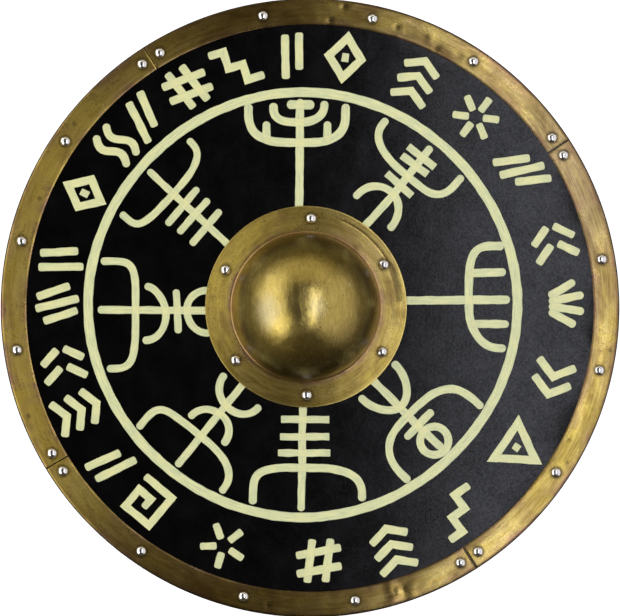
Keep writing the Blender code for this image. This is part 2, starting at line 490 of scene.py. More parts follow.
def paintRing():
    centre = Vector(paint["centre"])
    circle = [around(origin, ringRadius(degrees), degrees).xy for degrees in range(0, 360, 2)]
    stroke(circle, lambda right, out: centre + Vector((right, out)), paint["ringWidth"], closed=True)


under = 88              # the stems start under the boss's flange
pastRivet = 9           # but the bottom one clear of its rivet's hole

arms = {                # bearing of each arm: its strokes as line, width and, where they aren't round, ends
    90: [
        (straight((-4, under), (-3, 199)), 8.2),
        (straight((-12, 197), (7, 197)), 9.0),
        (cup((-29, 195), (21, 197), 179.5, -3, 3.0, 2.2), 8.3),
        (cup((-54, 194), (42, 194), 159.5, -3, 3.2, 3.2), 8.5),
        (straight((-36, 162), (-36, 177)), 8.0),
        (straight((24, 162), (24, 177)), 8.0),
    ],
    49.8: [
        (straight((-4, under), (-2, 138), (-3, 162), (-4, 197)), 7.8),
        (straight((-21, 186), (11, 187)), 7.6, "square"),
        (straight((-20, 175), (10, 177)), 7.6, "square"),
        (cup((-55, 190), (38, 195), 163, -4, 2.7, 3.8), 7.6),
        (straight((-20, 152), (12, 151)), 7.6, "square"),
        (cup((-29, 116), (17, 114), 141, -5, 2.1, 2.0), 7.6),
    ],
    0: [
        (straight((-4, under), (-5, 200)), 8.3),
        (cup((-58, 194), (43, 196), 163, -5, 4.0, 2.4), 8.3),
        (straight((-31, 164), (-32, 196)), 8.3),
        (straight((19, 167), (19, 199)), 8.0),
    ],
    -44.2: [
        (straight((5, under), (6, 138), (7, 165), (6, 193)), 7.8),
        (cup((-21, 106), (26, 106), 139, 3.5, 1.9, 1.9), 7.8),
        (cup((-50, 194), (52, 193), 150, 5, 3.0, 3.0), 7.8),
        (straight((-11, 164), (21, 164)), 7.8),
        (hoop((6, 186), 14), 7.8, "round", True),
    ],
    -90: [
        (straight((0, under + pastRivet), (1, 124), (1, 155), (2, 200)), 7.5),
        (straight((-25, 113), (21, 113)), 7.2, "square"),
        (straight((-25, 130), (22, 130)), 7.2, "square"),
        (straight((-26, 146), (24, 146)), 7.2, "square"),
        (cup((-58, 190), (49.5, 193), 160.5, 1, 3.0, 4.2), 8.0),
    ],
    231.1: [
        (straight((-3, under), (-3, 199)), 7.4),
        (cup((-29, 107), (17, 104), 125.5, -8), 7.4),
        (cup((-25, 154), (17, 154), 135, -6), 7.4),
        (cup((-53, 192), (50, 194), 164, -3, 2.6, 5.0), 7.4),
    ],
    180: [
        (straight((-6, under), (-5, 199)), 7.4),
        (cup((-63, 190), (43, 196), 165, -5, 4.0, 5.0), 7.4),
        (cup((-35, 155), (18, 153), 135, -10, 2.0, 1.7), 7.2),
        (straight((-25, 123), (12, 125)), 7.2),
        (cup((-28, 94), (14, 95), 114.5, -5), 7.2),
    ],
    137.1: [
        (straight((-7, under), (-7, 199)), 7.2),
        (cup((-56, 190), (42, 191), 168, -8, 4.3, 2.8), 7.2),
        (straight((-31, 152), (11, 154)), 7.2),
        (straight((-29, 138), (10, 139)), 7.2),
        (straight((-29, 121), (10, 123)), 7.2),
    ],
}


def paintArms():
    for bearing, lines in arms.items():
        for line, width, *manner in lines:
            stroke(line, placeAt(bearing, paint["centre"]), width, *manner)


# the row of marks round the edge: plain groups of strokes, none of them a letter

def dash(place, *corners, width=paint["markWidth"], ends="soft", closed=False):
    stroke(straight(*corners), place, width, ends, closed)


def slants(place, lean, spread):
    for offset, low, high in ((-spread, -18, 11), (0, -19, 19), (spread, -10, 18)):
        dash(place, (offset - lean, low), (offset + lean, high))


def pair(place, lean, gap):
    dash(place, (-gap / 2 - lean, -20), (-gap / 2 + lean, 19))
    dash(place, (gap / 2 - lean, -12), (gap / 2 + lean, 20))


def chevrons(place, way, half):
    for height in (-13, 3, 19):
        dash(place, (-half, way * (height - 9)), (0, way * height), (half, way * (height - 9)))


def spokes(place, count, near=9, far=21):
    for index in range(count):
        turn = math.radians(90 + 360 * index / count + 4)
        inner, outer = [(reach * math.cos(turn), reach * math.sin(turn)) for reach in (near, far)]
        dash(place, inner, outer, width=paint["markWidth"] * 0.93)


def lattice(place, lean, gap):
    for side in (-gap, gap):
        dash(place, (side - lean, -19), (side + lean, 19))
        dash(place, (-20, side - lean), (20, side + lean))


def eye(place, half, rise):
    dash(place, (0, -rise), (half, 0), (0, rise), (-half, 0), closed=True)
    dash(place, (0, -3.5), (0, 3.5), width=7.0, ends="square")


def stairs(place, side):
    dash(place, *[(right * side, out) for right, out in
                  ((-22, -16), (-7, -16), (-7, 0), (8, 0), (8, 17), (21, 17))])


def basket(place, lean):
    for offset in (-11, 7):
        dash(place, (offset - lean / 2, 5), (offset + lean, 19))
        dash(place, (offset + lean, -19), (offset - lean / 2, -5))


def peak(place):
    dash(place, (-21, -16), (21, -16), (0, 19), closed=True)
    dash(place, (0, -6.5), (0, -1.0), width=7.0, ends="square")


def darts(place, reach=17):
    # two arrowheads one behind the other, pointing along the rim
    for right in (-14, 4):
        dash(place, (right, reach), (right + 13, 0), (right, -reach))


def fan(place, opening=66):
    for share in (-1.0, -0.34, 0.34, 1.0):
        turn = math.radians(90 - opening / 2 * share)
        near, far = (14, 40) if abs(share) < 0.5 else (16, 37)
        dash(place, (near * math.cos(turn), near * math.sin(turn) - 24),
             (far * math.cos(turn), far * math.sin(turn) - 22), ends="round")


def waves(place, gap=15):
    for offset in (-gap / 2, gap / 2):
        dash(place, *[(offset + 4.5 * math.sin(math.radians(step * 22.5)), -19 + step * 38 / 16)
                      for step in range(17)], ends="round")


def fret(place):
    dash(place, (16, -18), (-16, -18), (-16, 17), (14, 17), (14, -4), (-1, -4), (-1, 5), width=7.6)


marks = {               # bearing of each place in degrees, and what is painted there
    94: (pair, 1, 14), 82: (eye, 16, 20), 65: (chevrons, 1, 16), 49: (spokes, 6), 33: (slants, 7, 14),
    15: (basket, 8), 1: (fan,), -16: (darts,), -34: (peak,), -54: (stairs, 1),
    -71: (chevrons, -1, 17), -88: (lattice, 3, 9), -110: (spokes, 5), -130: (fret,),
    -142: (pair, 4, 15), -156: (chevrons, -1, 16), -168: (basket, -7), 179: (slants, -5, 12),
    169: (pair, -4, 14), 153: (eye, 15, 18), 140: (waves,), 131: (pair, 5, 15), 119: (lattice, -3, 8),
    107: (stairs, -1),
}


def paintMarks():
    inside = len(strokes)
    for bearing, (motif, *values) in marks.items():
        motif(placeAt(bearing, (0, 0), paint["markRadius"]), *values)
    for drawn in strokes[inside:]:
        drawn["load"] = paint["markLoad"]


paintRing()
paintArms()
paintMarks()
print("strokes laid out:", len(strokes))


# the board

board = {
    "sides": 288,
    "edgeRound": 1.2 * mm,
    "handHole": 64.8 * mm,
    "holeSides": 144,
    "slotHalfWidth": 14.3 * mm,     # the two pockets that the grip's ends lie in
    "slotDepth": 6.3 * mm,
    "slotPlay": 0.3 * mm,           # past each end of the grip
    "shankHole": 2.5 * mm,
    "shankSides": 16,
    "tailHole": 3.9 * mm,
    "tailDepth": 1.9 * mm,
    "tailSides": 24,
    "overshoot": 5 * mm,            # of every cutter past the face that it cuts
}

blackTones = [(0.0009, 0.0009, 0.0011, 1), (0.0022, 0.0022, 0.0030, 1)]

paleTones = {
    "thin": (0.66, 0.75, 0.43, 1),
    "thick": (0.99, 1.0, 0.54, 1),
    "full": (1.0, 0.98, 0.48, 1),       # where the strokes lie over each other
    "hair": (0.64, 0.73, 0.44, 1),      # the bristles' traces
    "worn": (0.48, 0.55, 0.38, 1),      # edges and tips, where the black shows through
}

gripLow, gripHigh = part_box("grip")
gripTop, gripFoot = rivets["boss_rivet_top"], rivets["boss_rivet_bottom"]       # these two hold the grip
gripMiddle = (gripTop + gripFoot) / 2
gripAlong = (gripTop - gripFoot).normalized()
gripHalf = (gripHigh.y - gripLow.y) / 2


def blackPaint():
    material = newMaterial("BlackPaint")
    grain = cloudy(material, (900, 700, 300), 4.0, 0.65)
    sweep = cloudy(material, (300, 26, 60), 4.0, 0.6)
    sag = cloudy(material, (14, 11, 10), 2.0, 0.5)
    mottle = cloudy(material, (40, 34, 20), 5.0, 0.65)
    peel = cloudy(material, (520, 460, 300), 5.0, 0.75)
    connect(blend(between(mottle, 0.35, 0.7), *blackTones), "Base Color")
    rough = sumOf(between(mottle, 0.3, 0.7, 0.15, 0.19), between(grain, 0.35, 0.65, -0.02, 0.02))
    connect(rough, "Roughness")
    sheen = sumOf(between(peel, 0.35, 0.65, 0.12, 0.32), between(mottle, 0.35, 0.65, -0.03, 0.05))
    connect(sheen, "Specular IOR Level")
    bumps = relief(sag, 0.3 * mm, 0.6)
    bumps = relief(sweep, 0.04 * mm, 0.4, bumps)
    connect(relief(grain, 0.06 * mm, 0.6, bumps), "Normal")
    return material


def palePaint():
    material = newMaterial("PalePaint", **{"Roughness": 0.33, "Specular IOR Level": 0.6})
    brush = addNode(material, "UVMap", uv_map="brush").outputs["UV"]
    streaks = cloudy(material, (5, 6.5, 1), 5.0, 0.62, source=brush)
    hairs = cloudy(material, (14, 26, 1), 3.0, 0.6, source=brush)
    patches = cloudy(material, (70, 70, 70), 4.0, 0.6)
    fromMiddle = reckon(addNode(brush, "SeparateXYZ", {"Vector": brush}).outputs["Y"], 0.5, "SUBTRACT")
    edge = between(product(fromMiddle, fromMiddle), 0.13, 0.24)
    tone = blend(between(streaks, 0.36, 0.64), paleTones["thin"], paleTones["thick"])
    full = sumOf(between(attributeOf(material, "coats"), 1.0, 2.0, 0.0, 0.55),
                 between(patches, 0.42, 0.66, -0.1, 0.45))
    tone = blend(between(full, 0.0, 1.0), tone, paleTones["full"])
    tone = blend(between(hairs, 0.5, 0.72, 0.0, 0.40), tone, paleTones["hair"])
    worn = sumOf(product(edge, 0.38), product(attributeOf(material, "tips"), 0.26))
    connect(blend(worn, tone, paleTones["worn"]), "Base Color")
    connect(relief(sumOf(streaks, hairs), 0.2 * mm, 0.5), "Normal")
    return material


def areaOf(corners):
    first, second, third = corners
    return (second - first).cross(third - first) / 2


def ribbonFaces():
    # every stroke as a run of triangles: corners in metres, and which stroke and station each face is of
    corners, faces, owners = [], [], []
    for number, drawn in enumerate(strokes):
        first = len(corners)
        for point, across, half, _ in drawn["stations"]:
            corners += [(point + across * half) * mm, (point - across * half) * mm]
        count = len(drawn["stations"])
        for index in range(count if drawn["closed"] else count - 1):
            a = first + 2 * index
            b = first + 2 * ((index + 1) % count)
            for face in ([a, a + 1, b + 1], [a, b + 1, b]):
                area = areaOf([corners[corner] for corner in face])
                if abs(area) > 1e-10:
                    faces.append(face if area > 0 else face[::-1])
                    owners.append((number, index))
    return corners, faces, owners


def brushPlace(drawn, index, point):
    # how far along the stroke a point lies, and how far across it, 0 to 1
    stations = drawn["stations"]
    start, across, half, travelled = stations[index]
    end, endAcross, endHalf, _ = stations[(index + 1) % len(stations)]
    step = end - start
    share = (point - start).dot(step) / max(step.length_squared, 1e-9)
    side = (point - start.lerp(end, share)).dot(across.lerp(endAcross, share).normalized())
    full = max(half, endHalf, 1.0)
    return (travelled + share * step.length) / 100 + drawn["seed"], 0.5 - side / (2 * full)


def tipShare(drawn, index):
    # 1 at the end of an open stroke and 0 from a few millimetres in, where the paint lies thicker
    if drawn["closed"]:
        return 0.0
    travelled = [station[3] for station in drawn["stations"]]
    inward = min(travelled[index] - travelled[0], travelled[-1] - travelled[index + 1])
    return max(0.0, 1.0 - inward / paint["tip"])


def slabMesh():
    bm = bmesh.new()
    cylinder(bm, origin, boardRadius, 0.0, boardTop, board["sides"])
    rims = [edge for edge in bm.edges if abs(edge.verts[0].co.z - edge.verts[1].co.z) < 1e-6]
    bmesh.ops.bevel(bm, geom=rims, offset=board["edgeRound"], segments=3, profile=0.5, affect="EDGES",
                    material=-1)
    below, above = -board["overshoot"], boardTop + board["overshoot"]
    bm = drilled(bm, [bossCentre], board["handHole"], below, above, board["holeSides"])
    slots = bmesh.new()
    depth = board["slotDepth"] + board["overshoot"]
    middle = Matrix.Translation(gripMiddle + Vector((0, 0, board["slotDepth"] - depth / 2)))
    turn = Matrix.Rotation(math.atan2(-gripAlong.x, gripAlong.y), 4, "Z")
    size = Matrix.Diagonal((board["slotHalfWidth"] * 2, (gripHalf + board["slotPlay"]) * 2, depth, 1))
    bmesh.ops.create_cube(slots, size=1.0, matrix=middle @ turn @ size)
    bm = cutAway(bm, slots)
    bm = drilled(bm, rivets.values(), board["shankHole"], below, above, board["shankSides"])
    inBoard = [centre for centre in rivets.values() if centre not in (gripTop, gripFoot)]
    return drilled(bm, inBoard, board["tailHole"], below, board["tailDepth"], board["tailSides"])


def insideHole(point, radius, sides):
    # the holes are many-sided, so the sides count and not the circle round them
    step = math.tau / sides
    turn = math.atan2(point.y, point.x) % step - step / 2
    return point.length * math.cos(turn) < radius * math.cos(step / 2)


def paintedFront(bm):
    # the slab's front face is laid again, split along the edges of the strokes
    nearTop = boardTop - 0.01 * mm
    top = [face for face in bm.faces if face.normal.z > 0.99 and face.calc_center_median().z > nearTop]
    bmesh.ops.delete(bm, geom=top, context="FACES_ONLY")
    border = [edge for edge in bm.edges if len(edge.link_faces) == 1 and edge.verts[0].co.z > nearTop]
    loose = [edge for edge in bm.edges if not edge.link_faces]
    bmesh.ops.delete(bm, geom=loose, context="EDGES")
    rimVerts = list({vert for edge in border for vert in edge.verts})
    number = {vert: index for index, vert in enumerate(rimVerts)}
    shift = len(rimVerts)
    corners, ribbons, owners = ribbonFaces()
    points = [vert.co.xy for vert in rimVerts] + corners
    edges = [[number[vert] for vert in edge.verts] for edge in border]
    faces = [[index + shift for index in ribbon] for ribbon in ribbons]
    found, _, triangles, sources, _, parents = delaunay_2d_cdt(points, edges, faces, 0, 1e-7, True)
    verts = []
    for point, source in zip(found, sources):
        rim = [index for index in source if index < shift]
        verts.append(rimVerts[rim[0]] if rim else bm.verts.new((point.x, point.y, boardTop)))
    brush = bm.loops.layers.uv.new("brush")
    coats = bm.faces.layers.float.new("coats")
    tips = bm.faces.layers.float.new("tips")
    holes = [(bossCentre, board["handHole"], board["holeSides"])]
    holes += [(centre, board["shankHole"], board["shankSides"]) for centre in rivets.values()]
    for triangle, parent in zip(triangles, parents):
        middle = sum((found[index] for index in triangle), Vector((0, 0))) / 3
        if any(insideHole(middle - centre.xy, radius, sides) for centre, radius, sides in holes):
            continue
        face = bm.faces.new([verts[index] for index in triangle])
        if face.normal.z < 0:
            face.normal_flip()
        if parent:
            on = [owners[index] for index in parent]
            last, index = max(on)
            face.material_index = 1
            face[coats] = len({stroke for stroke, _ in on}) + strokes[last]["load"]
            face[tips] = tipShare(strokes[last], index)
            for loop in face.loops:
                loop[brush].uv = brushPlace(strokes[last], index, loop.vert.co.xy / mm)
    strays = [vert for vert in bm.verts if not vert.link_faces]
    bmesh.ops.delete(bm, geom=strays, context="VERTS")
    return bm


def makeBoard():
    bm = paintedFront(slabMesh())
    bm.normal_update()
    openEdges = [edge for edge in bm.edges if len(edge.link_faces) != 2]
    print("board faces", len(bm.faces), "open edges", len(openEdges))
    for face in bm.faces:
        face.smooth = abs(face.normal.z) < 0.999
    addPiece(bm, "board", [blackPaint(), palePaint()], 35, allSmooth=False)


makeBoard()
print("board made")


# the brass

rivet = {
    "headRadius": 5.1 * mm,
    "headHeight": 3.1 * mm,
    "shankRadius": 2.2 * mm,
    "tailRadius": 3.6 * mm,
    "tailDepth": 1.6 * mm,
    "steps": 40,
    "dirt": 0.85,               # how dark the brass is round the head: grime and painted shade under the head
    "dirtReach": 1.3 * mm,
}

brass = {
    "clean": (0.565, 0.410, 0.055, 1),
    "pale": (0.74, 0.592, 0.178, 1),
    "olive": (0.435, 0.318, 0.062, 1),
    # the next colour paints light onto the sheet at the brighter bearings
    "gold": (0.86, 0.63, 0.105, 1),
    # the next colour is the paler colour of the painted highlights on the dome
    "rubbed": (0.50, 0.44, 0.26, 1),
    "dun": (0.34, 0.254, 0.135, 1),
    "rosy": (0.40, 0.225, 0.145, 1),
    "brown": (0.16, 0.088, 0.022, 1),
    "deep": (0.074, 0.040, 0.009, 1),
    "dark": (0.040, 0.024, 0.010, 1),
}

tarnishAndLight = {             # bearing in degrees: how far the sheet is brown, grey or bright, in this order; the brown is partly tarnished brass and partly painted shade, and the bright is painted light
    "rim": {
        "dull": {-180: 0.10, -157: 0.0, -142: 0.16, -127: 0.64, -112: 0.64, -97: 0.80, -82: 0.46, -67: 0.26,
                 -52: 0.0, -37: 0.0, 45: 0.0, 57: 0.12, 67: 0.34, 82: 0.38, 96: 0.92, 112: 0.64, 127: 0.05,
                 150: 0.0, 180: 0.10},
        "dun": {-180: 0.0, -90: 0.0, -72: 0.32, -54: 0.50, -40: 0.0, -10: 0.0, 8: 0.45, 22: 0.95, 36: 0.8,
                48: 0.35, 60: 0.4, 70: 0.3, 85: 0.0, 180: 0.0},
        "gold": {-180: 0.2, -165: 0.9, -148: 0.3, -130: 0.0, 118: 0.0, 135: 0.4, 152: 1.0, 164: 0.6, 172: 0.1,
                 180: 0.2},
    },
    "flange": {
        "dull": {-180: 0.05, -165: 0.08, -135: 0.55, -105: 0.62, -75: 0.30, -45: 0.0, 20: 0.0, 50: 0.24,
                 75: 0.52, 105: 0.16, 130: 0.0, 160: 0.0, 180: 0.05},
        "dun": {-180: 0.0, -80: 0.0, -50: 0.2, -15: 0.15, 15: 0.35, 45: 0.5, 75: 0.25, 100: 0.0, 180: 0.0},
        "gold": {-180: 0.9, -160: 0.5, -145: 0.0, -90: 0.1, -60: 0.5, -30: 0.5, 0: 0.0, 80: 0.2, 105: 0.9,
                 128: 1.0, 150: 0.5, 180: 0.9},
    },
}


def rivetShadeAndDirt(spot, centres):
    # the brass darkens round each head: grime and painted shade under it
    past = min((spot.xy - centre.xy).length for centre in centres) - rivet["headRadius"]
    return rivet["dirt"] * math.exp(-(max(past, 0.0) / rivet["dirtReach"]) ** 2)


def swept(material, centre, radius, along, across, detail=4.0, roughness=0.62, distortion=0.0):
    # noise drawn out round the centre, the way the sheet was brushed
    flat = placed(material, (1, 1, 0), centre)
    heading = addNode(flat, "VectorMath", {0: flat}, operation="NORMALIZE").outputs[0]
    wide = vectorMath(heading, (radius * along,) * 3, "MULTIPLY")
    deep = addNode(flat, "CombineXYZ", {"Z": product(lengthOf(flat), across)}).outputs[0]
    return noiseOn(vectorMath(wide, deep, "ADD"), detail, roughness, distortion)


def byBearing(material, centre, amounts):
    # a share that changes with the bearing round the centre
    parts = addNode(material, "SeparateXYZ", {"Vector": placed(material, (1, 1, 0), centre)}).outputs
    turn = reckon(parts["Y"], parts["X"], "ARCTAN2")
    ramp = addNode(material, "ValToRGB", {"Fac": between(turn, -math.pi, math.pi)})
    ramp.color_ramp.interpolation = "B_SPLINE"
    stops = ramp.color_ramp.elements
    stops.remove(stops[1])          # the one that stays stands at -180 degrees
    for bearing, amount in amounts.items():
        stop = stops[0] if bearing == -180 else stops.new((bearing + 180) / 360)
        stop.color = (amount, amount, amount, 1)
    return ramp.outputs["Color"]


def layered(tone, *layers):
    # each layer is an amount and the brass colour that it lays over what is there
    for amount, colour in layers:
        tone = blend(amount, tone, brass[colour])
    return tone


def sheetBrass(name, centre, radius, stainsAndLight):
    # brushed, spotted and tarnished sheet, with painted light and painted shade that change with the bearing,
    # and grime and painted shade round its rivets: the material and its colour
    material = newMaterial(name, **{"Metallic": 1.0, "Anisotropic": 0.7, "Anisotropic Rotation": 0.25,
                                    "Coat Roughness": 0.3})
    streaks = swept(material, centre, radius, 20, 280)
    hairs = swept(material, centre, radius, 20, 800, 3.0)
    clouds = swept(material, centre, radius, 24, 60, 5.0, 0.65, 0.5)
    blush = cloudy(material, (30, 30, 30), 5.0, 0.65, centre, 0.8)
    sway = cloudy(material, (42, 42, 42), 1.0, 0.4, centre)
    grit = cloudy(material, (400, 400, 400), 4.0, 0.7, centre)
    pits = cloudy(material, (560, 560, 560), 2.0, 0.5, centre)
    brink = attributeOf(material, "brink")
    uneven = between(clouds, 0.3, 0.7, 0.72, 1.25)
    # the bearing ramps: the brown is partly tarnished brass and partly painted shade, the bright is painted
    # light
    dull = product(byBearing(material, centre, stainsAndLight["dull"]), uneven)
    dun = product(byBearing(material, centre, stainsAndLight["dun"]), uneven)
    stain = sumOf(between(clouds, 0.44, 0.72, 0.0, 0.75), between(streaks, 0.38, 0.60, 0.10, -0.08))
    pink = product(between(blush, 0.42, 0.64, 0.0, 0.9), between(brink, 0.0, 1.0, 0.22, 1.0))
    pink = sumOf(pink, product(brink, 0.30))
    pitted = product(between(pits, 0.62, 0.72, 0.0, 0.8), between(blush, 0.54, 0.68))
    tone = blend(between(streaks, 0.42, 0.62, 0.0, 0.72), brass["clean"], brass["pale"])
    # the last layer is dark round the rivets, in the dents, at the strip's ends and along its edges: partly
    # grime, partly painted shade
    tone = layered(tone, (byBearing(material, centre, stainsAndLight["gold"]), "gold"), (dun, "dun"), (pink, "rosy"),
                   (stain, "brown"), (between(grit, 0.50, 0.72, 0.0, 0.30), "brown"),
                   (between(hairs, 0.50, 0.70, 0.0, 0.45), "pale"), (dull, "deep"), (pitted, "dark"),
                   (attributeOf(material, "dirt"), "dark"))
    connect(tone, "Base Color")
    connect(sumOf(between(clouds, 0.35, 0.7, 0.25, 0.36), between(grit, 0.4, 0.7, -0.01, 0.04)), "Roughness")
    connect(between(dull, 0.0, 0.7, 0.18, 0.02), "Coat Weight")
    bumps = relief(sway, 0.6 * mm, 0.4)
    bumps = relief(streaks, 0.10 * mm, 0.6, bumps)
    bumps = relief(grit, 0.03 * mm, 0.5, bumps)
    connect(relief(hairs, 0.06 * mm, 0.5, bumps), "Normal")
    return material, tone


# the rim strips

strip = {
    "steps": 220,           # along each strip
    "across": 12,
    "middleRadius": 0.2914,
    "edgeRound": 0.35 * mm,
    "sway": 0.12 * mm,      # long soft waves in the sheet
    "dimple": 0.07 * mm,
    "crown": 0.36 * mm,     # the edges lie this much lower than the middle
    "deepest": 0.6 * mm,    # a dent sinks the face no further
    "deepestBack": 0.25 * mm,
    "holeRadius": 2.5 * mm,
    "holeSides": 16,
    "overshoot": 3 * mm,    # of the drill past both faces
    "hollowDirt": 0.8,      # how dark a hollow dent is in its middle, and then a raised one: grime and painted shade
    "raisedDirt": 0.35,
    "dirtSize": 0.7,        # the dark spot's size in shares of the dent's
    "endDirt": 0.65,
    "endReach": 3.0 * mm,
    "edgeReach": 1.2 * mm,
    "brinkReach": 4.5 * mm,     # of the rosy stain at both edges
}

dents = [                   # (bearing, distance in from the outer edge in mm, size in mm, depth in mm)
    (83.5, 5, 3.0, -0.35), (86, 20, 2.6, -0.3), (72.8, 14, 2.6, -0.3), (66, 13, 3.6, 0.35),
    (64, 19, 3.0, -0.35), (58.5, 14, 3.4, 0.3), (-31, 8, 3.2, -0.35), (-27, 17, 2.8, -0.3),
    (-8, 5, 3.0, -0.3), (-8.4, 15, 2.6, 0.25), (-71.6, 12, 2.2, -0.5), (-72.7, 9, 1.8, 0.35),
    (-73.4, 14, 2.0, -0.3), (142, 9, 3.0, -0.25), (158, 16, 2.8, -0.25), (201, 7, 3.2, -0.3),
    (236, 15, 3.0, -0.25), (262, 8, 2.8, -0.25),
]

buckle = {"from": -79.0, "to": -66.5, "waves": 2.6, "height": 0.15 * mm}


def dentsFrom(spot, outer):
    # for each dent its depth, and how far off it is in shares of its own size
    return [(depth, (spot - around(origin, outer - inset * mm, bearing)).length / (size * mm))
            for bearing, inset, size, depth in dents]


def stripLift(spot, inner, outer):
    # how far the beaten sheet stands above or below flat at this spot
    lift = noise.noise(spot * 22) * strip["sway"] + noise.noise(spot * 75) * strip["dimple"]
    radius = spot.length
    lift -= strip["crown"] * ((2 * radius - inner - outer) / (outer - inner)) ** 2
    for depth, away in dentsFrom(spot, outer):
        if away < 2.5:
            lift += depth * mm * math.exp(-away * away)
    share = (math.degrees(math.atan2(spot.y, spot.x)) - buckle["from"]) / (buckle["to"] - buckle["from"])
    if 0 < share < 1:
        bend = noise.noise(spot * 45) * 3.0 + radius * 70
        wave = math.sin(share * math.tau * buckle["waves"] + bend)
        lift += buckle["height"] * wave * math.sin(share * math.pi) ** 2
    return lift


def stripDirtAndShade(spot, shape):
    # 0 to 1: dark round the rivets and in the dents, grime and painted shade, at both ends of the strip and
    #         along its edges
    dirt = [rivetShadeAndDirt(spot, rimRivets)]
    for depth, away in dentsFrom(spot, shape["outer"]):
        darkness = strip["hollowDirt"] if depth < 0 else strip["raisedDirt"]
        dirt.append(darkness * math.exp(-(away / strip["dirtSize"]) ** 2))
    fromEnd = (shape["half"] - abs(turnFrom(shape["middle"], spot))) * spot.length
    speckled = 0.35 + 0.5 * noise.noise(spot * 160)
    dirt.append(strip["endDirt"] * speckled * math.exp(-fromEnd / strip["endReach"]))
    edge = min(shape["outer"] - spot.length, spot.length - shape["inner"])
    dirt.append((0.3 + 0.5 * noise.noise(spot * 70)) * math.exp(-edge / strip["edgeReach"]))
    return min(1.0, max(dirt))


def stripOutline(name):
    # inner and outer radius, heights, and the bearings of its start and middle, all from the node itself
    verts = [vert.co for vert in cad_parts[name].data.vertices]
    radii = [vert.xy.length for vert in verts]
    middle = sum((vert.xy for vert in verts), Vector((0, 0)))
    heading = math.atan2(middle.y, middle.x)
    turns = [turnFrom(heading, vert) for vert in verts]
    return {"inner": min(radii), "outer": max(radii), "low": min(vert.z for vert in verts),
            "high": max(vert.z for vert in verts), "start": heading + min(turns),
            "middle": heading + (min(turns) + max(turns)) / 2, "half": (max(turns) - min(turns)) / 2}


def makeStrip(name, material):
    shape = stripOutline(name)
    inner, outer, low, high = (shape[key] for key in ("inner", "outer", "low", "high"))
    bm = bmesh.new()
    heading = Vector((math.cos(shape["start"]), math.sin(shape["start"]), 0.0))
    section = [heading * radius + Vector((0, 0, z)) for radius, z in
               ((inner, low), (outer, low), (outer, high), (inner, high))]
    face = bm.faces.new([bm.verts.new(corner) for corner in section])
    bmesh.ops.spin(bm, geom=[face] + face.edges[:] + face.verts[:], cent=(0, 0, 0), axis=(0, 0, 1),
                   angle=2 * shape["half"], steps=strip["steps"])
    bmesh.ops.recalc_face_normals(bm, faces=bm.faces[:])
    corners = [edge for edge in bm.edges if len(edge.link_faces) == 2
               and edge.calc_face_angle(0) > math.radians(60)]
    bmesh.ops.bevel(bm, geom=corners, offset=strip["edgeRound"], segments=2, profile=0.5, affect="EDGES",
                    clamp_overlap=True, material=-1)
    wide = [edge for edge in bm.edges if edge.calc_length() > 0.8 * (outer - inner)]
    bmesh.ops.subdivide_edges(bm, edges=wide, cuts=strip["across"] - 1, use_grid_fill=True)
    held = [centre for centre in rimRivets if abs(turnFrom(shape["middle"], centre)) < shape["half"]]
    bm = drilled(bm, held, strip["holeRadius"], low - strip["overshoot"], high + strip["overshoot"],
                 strip["holeSides"])
    along = bm.loops.layers.uv.new("along")
    dirt = bm.verts.layers.float.new("dirt")
    brink = bm.verts.layers.float.new("brink")
    for vert in bm.verts:
        spot = Vector((vert.co.x, vert.co.y, 0.0))
        vert[dirt] = stripDirtAndShade(spot, shape)
        vert[brink] = math.exp(-min(outer - spot.length, spot.length - inner) / strip["brinkReach"])
        deepest = strip["deepest"] if vert.co.z > (low + high) / 2 else strip["deepestBack"]
        vert.co.z += max(-deepest, stripLift(spot, inner, outer))
    for face in bm.faces:
        for loop in face.loops:
            point = loop.vert.co
            loop[along].uv = (turnFrom(shape["middle"], point) * outer, point.xy.length)
    addPiece(bm, name, [material], 35)


def makeStrips():
    material, _ = sheetBrass("RimBrass", (0, 0, 0), strip["middleRadius"], tarnishAndLight["rim"])
    brushAlong(material, "along")
    for name in sorted(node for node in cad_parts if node.startswith("rim_strip")):
        makeStrip(name, material)


makeStrips()
print("rim strips made")


# the boss

boss = {
    "sheet": 1.5 * mm,
    "domeRadius": 72.3 * mm,
    "fillet": 2.5 * mm,
    "edgeRound": 0.4 * mm,
    "steps": 192,
    "hammer": 0.50 * mm,        # how uneven the raised dome is
    "fineShare": 0.3,           # of that for its small marks
    "flangeShare": 0.25,        # of it that is left on the flange
    "hammerFade": 12 * mm,      # over which it fades there
    "hammerEnd": 4 * mm,        # past the wall
    "groove": 0.18 * mm,        # the arc pressed into the flange
    "grooveRadius": 92.0 * mm,
    "grooveFrom": 3.0,          # in degrees: it starts wide, and is narrow from the second bearing on
    "grooveNarrow": 28.0,
    "grooveTo": 71.0,
    "grooveFade": 6,            # at both ends
    "wideGroove": 2.6 * mm,
    "narrowGroove": 0.9 * mm,
    "brinkReach": 2.5 * mm,     # of the rosy stain at the dome's foot
    "wallFrom": 3 * mm,         # above the flange: the dome's wall, which no rivet's dark ring of grime and painted shade reaches
    "holeRadius": 2.5 * mm,
    "holeSides": 16,
    "drillBelow": 3 * mm,
    "drillAbove": 6 * mm,
}

rubbed = [(-37, -5, 17, 0.70), (11, 1, 12, 0.35)]      # (right, up, size in mm, share) of the paler patches that are painted highlights where the lamps shine on the dome

shadedSides = [             # (towards, from and to in shares of the dome's radius, amount) of its painted shade: the sides that turn away from the lamps, painted darker
    ((0.34, -0.94, 0), 0.28, 0.82, 0.75),
    ((1, 0.1, 0), 0.25, 0.75, 0.24),
]


